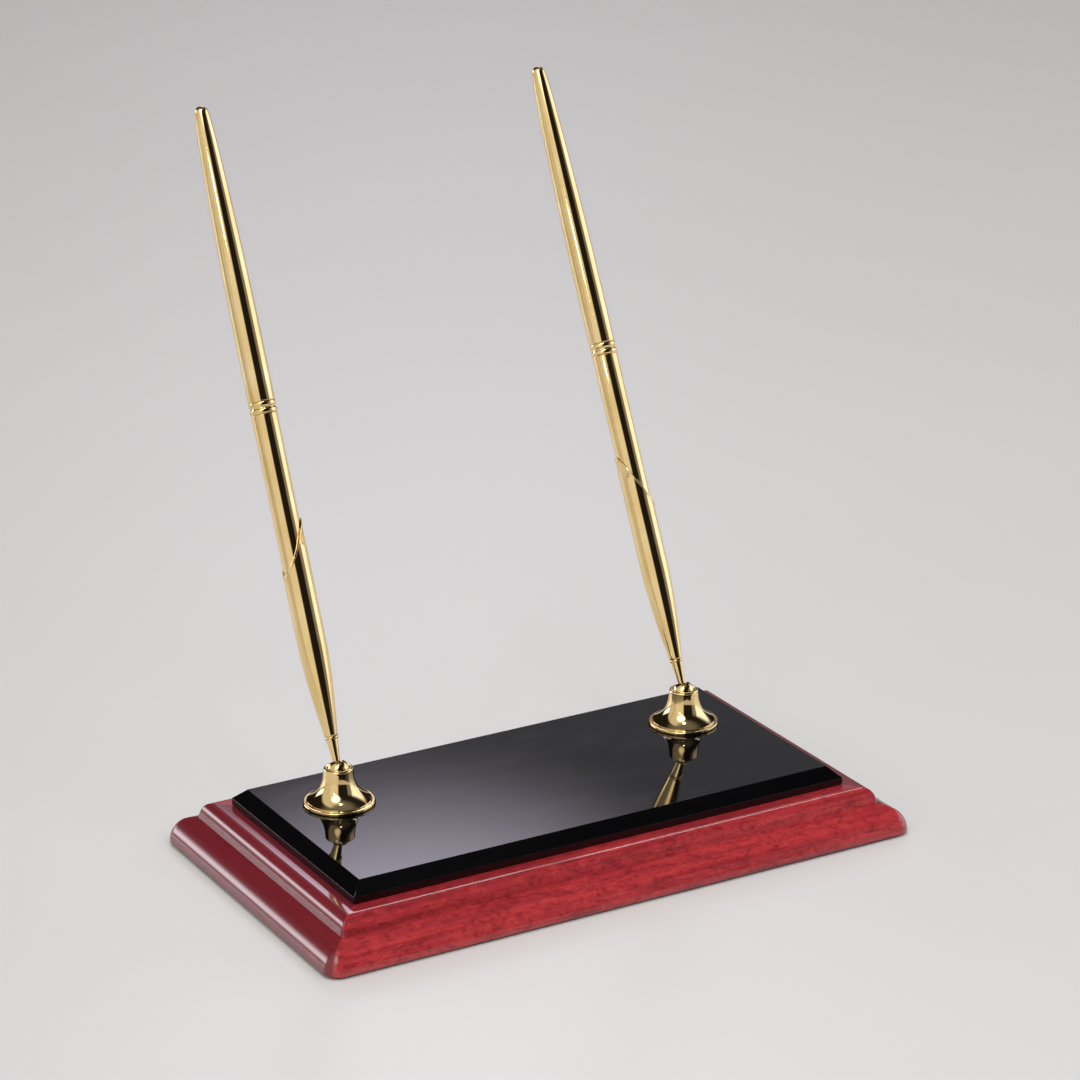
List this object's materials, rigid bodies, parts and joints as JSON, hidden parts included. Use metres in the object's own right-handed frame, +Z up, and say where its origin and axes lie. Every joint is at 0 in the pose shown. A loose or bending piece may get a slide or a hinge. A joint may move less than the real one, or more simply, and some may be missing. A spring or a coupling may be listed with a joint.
{
  "type": "double pen stand",
  "caption": "Desk stand with a moulded hardwood base and a bevelled black glass plate, carrying slim gold pens in trumpet-shaped swivel holders.",
  "frame": {"origin": "centre of the felt's underside, on the surface the stand rests on", "axes": "+X along the base's long side, to the right of a person facing its front; +Y to the back, the way the pens lean; +Z up"},
  "size_m": [0.2, 0.1626, 0.2178],
  "materials": {
    "rosewood": "lacquered, high gloss",
    "felt": "pressed felt",
    "adhesive": "acrylic foam",
    "black_glass": "polished, opaque black",
    "gold": "polished gold plate",
    "gold_barrel": "polished gold plate",
    "nylon": "natural nylon",
    "black_liner": "moulded black",
    "rubber": "matte",
    "steel": "zinc plated",
    "refill_brass": "drawn tube",
    "refill_plastic": "moulded",
    "tip_steel": "turned, bright",
    "carbide": "polished ball"
  },
  "bodies": {
    "stand": {"wood_base": "rosewood", "base_felt": "felt", "plate_adhesive": "adhesive", "black_glass_plate": "black_glass", "glass_bushings": "nylon", "glass_gaskets": "rubber", "studs": "steel", "base_washers": "steel", "base_nuts": "steel", "left_bell": "gold", "left_base_disc": "steel", "left_retaining_ring": "steel", "left_friction_oring": "rubber", "right_bell": "gold", "right_base_disc": "steel", "right_retaining_ring": "steel", "right_friction_oring": "rubber"},
    "left_seat": {"left_seat_ring": "nylon"},
    "left_ball": {"left_swivel_ball": "gold"},
    "left_liner": {"left_pen_liner": "black_liner"},
    "left_pen": {"left_coupling": "refill_brass", "left_lower_barrel": "gold_barrel", "left_front_sleeve": "gold_barrel", "left_nose_ring": "gold", "left_nose_cone": "gold", "left_refill_tube": "refill_brass", "left_refill_plug": "refill_plastic", "left_refill_point": "tip_steel", "left_writing_ball": "carbide"},
    "left_band": {"left_centre_band": "gold"},
    "left_barrel": {"left_upper_barrel": "gold_barrel"},
    "right_seat": {"right_seat_ring": "nylon"},
    "right_ball": {"right_swivel_ball": "gold"},
    "right_liner": {"right_pen_liner": "black_liner"},
    "right_pen": {"right_coupling": "refill_brass", "right_lower_barrel": "gold_barrel", "right_front_sleeve": "gold_barrel", "right_nose_ring": "gold", "right_nose_cone": "gold", "right_refill_tube": "refill_brass", "right_refill_plug": "refill_plastic", "right_refill_point": "tip_steel", "right_writing_ball": "carbide"},
    "right_band": {"right_centre_band": "gold"},
    "right_barrel": {"right_upper_barrel": "gold_barrel"}
  },
  "joints": [
    {"name": "left_swivel_turn", "type": "hinge", "parent": "stand", "child": "left_seat", "pos_m": [-0.0608, 0.0143, 0.0304], "axis": [0, 0, 1], "range_deg": [-25, 205]},
    {"name": "left_swivel_tilt", "type": "hinge", "parent": "left_seat", "child": "left_ball", "pos_m": [-0.0608, 0.0143, 0.0304], "axis": [1, 0, 0], "range_deg": [-6.6, 23.4]},
    {"name": "left_pen_spin", "type": "hinge", "parent": "left_ball", "child": "left_liner", "pos_m": [-0.0608, 0.0143, 0.0304], "axis": [0, 0.3971, 0.9178], "continuous": true},
    {"name": "left_pen_lift", "type": "slide", "parent": "left_liner", "child": "left_pen", "axis": [0, 0.3971, 0.9178], "range_m": [0, 0.04]},
    {"name": "left_band_turn", "type": "hinge", "parent": "left_pen", "child": "left_band", "pos_m": [-0.0608, 0.0143, 0.0304], "axis": [0, 0.3971, 0.9178], "range_deg": [0, 1081]},
    {"name": "left_barrel_unscrew", "type": "slide", "parent": "left_band", "child": "left_barrel", "axis": [0, 0.3971, 0.9178], "range_m": [0, 0.00225]},
    {"name": "right_swivel_turn", "type": "hinge", "parent": "stand", "child": "right_seat", "pos_m": [0.0608, 0.0143, 0.0304], "axis": [0, 0, 1], "range_deg": [-205, 25]},
    {"name": "right_swivel_tilt", "type": "hinge", "parent": "right_seat", "child": "right_ball", "pos_m": [0.0608, 0.0143, 0.0304], "axis": [1, 0, 0], "range_deg": [-3.8, 26.2]},
    {"name": "right_pen_spin", "type": "hinge", "parent": "right_ball", "child": "right_liner", "pos_m": [0.0608, 0.0143, 0.0304], "axis": [0, 0.4415, 0.8973], "continuous": true},
    {"name": "right_pen_lift", "type": "slide", "parent": "right_liner", "child": "right_pen", "axis": [0, 0.4415, 0.8973], "range_m": [0, 0.04]},
    {"name": "right_band_turn", "type": "hinge", "parent": "right_pen", "child": "right_band", "pos_m": [0.0608, 0.0143, 0.0304], "axis": [0, 0.4415, 0.8973], "range_deg": [0, 1081]},
    {"name": "right_barrel_unscrew", "type": "slide", "parent": "right_band", "child": "right_barrel", "axis": [0, 0.4415, 0.8973], "range_m": [0, 0.00225]}
  ],
  "couplings": [
    {"joint": "left_band_turn", "follows": "left_barrel_unscrew", "rad_per_m": 8377.6},
    {"joint": "right_band_turn", "follows": "right_barrel_unscrew", "rad_per_m": 8377.6}
  ]
}
